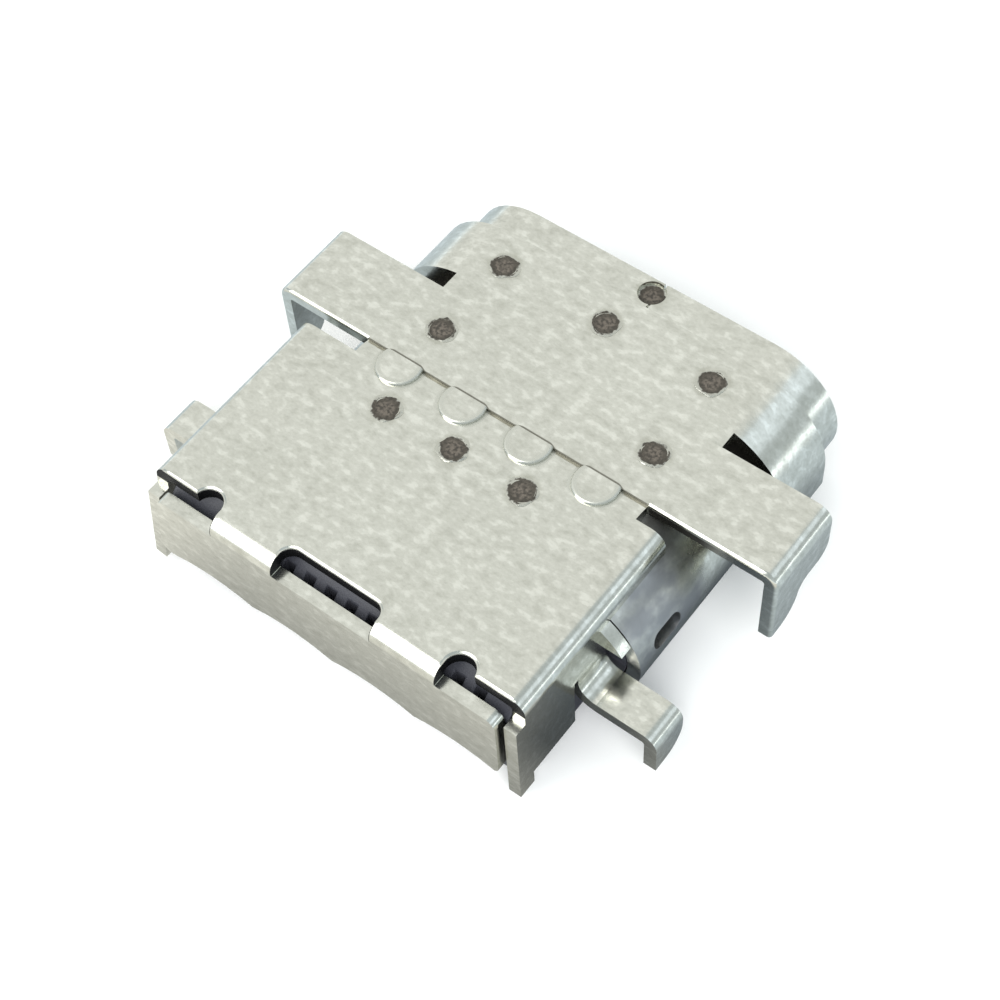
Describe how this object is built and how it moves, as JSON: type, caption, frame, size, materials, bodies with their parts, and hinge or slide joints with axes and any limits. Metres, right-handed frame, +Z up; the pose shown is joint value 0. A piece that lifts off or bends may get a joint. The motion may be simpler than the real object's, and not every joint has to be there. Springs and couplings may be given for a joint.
{
  "type": "usb-c socket",
  "caption": "Socket for a USB-C plug: a tube with a flat oval mouth, a bracket with two solder wings welded over it, and a folded rear cover with two solder tabs.",
  "frame": {"origin": "middle of the mouth, in the plane of the tube's front rim", "axes": "+Y out of the mouth, the way the plug leaves; +X across the mouth; +Z up, towards the welded top faces"},
  "size_m": [0.0127, 0.0098, 0.0035],
  "materials": {
    "tube_steel": "nickel plated, satin",
    "bracket_steel": "nickel plated, satin",
    "cover_steel": "nickel plated, satin",
    "housing_plastic": "matt black moulding",
    "tongue_plastic": "matt black moulding",
    "plate_steel": "bare stainless",
    "contact_gold": "thin gold plating"
  },
  "bodies": {
    "root": {"tube_shell": "tube_steel", "front_bracket": "bracket_steel", "rear_cover": "cover_steel", "rear_housing": "housing_plastic", "upper_insulator": "tongue_plastic", "lower_insulator": "tongue_plastic", "mid_plate": "plate_steel", "tongue_tip": "tongue_plastic", "upper_shield": "plate_steel", "lower_shield": "plate_steel", "contact_a1": "contact_gold", "contact_a2": "contact_gold", "contact_a3": "contact_gold", "contact_a4": "contact_gold", "contact_a5": "contact_gold", "contact_a6": "contact_gold", "contact_a7": "contact_gold", "contact_a8": "contact_gold", "contact_a9": "contact_gold", "contact_a10": "contact_gold", "contact_a11": "contact_gold", "contact_a12": "contact_gold", "contact_b1": "contact_gold", "contact_b2": "contact_gold", "contact_b3": "contact_gold", "contact_b4": "contact_gold", "contact_b5": "contact_gold", "contact_b6": "contact_gold", "contact_b7": "contact_gold", "contact_b8": "contact_gold", "contact_b9": "contact_gold", "contact_b10": "contact_gold", "contact_b11": "contact_gold", "contact_b12": "contact_gold"}
  },
  "joints": []
}
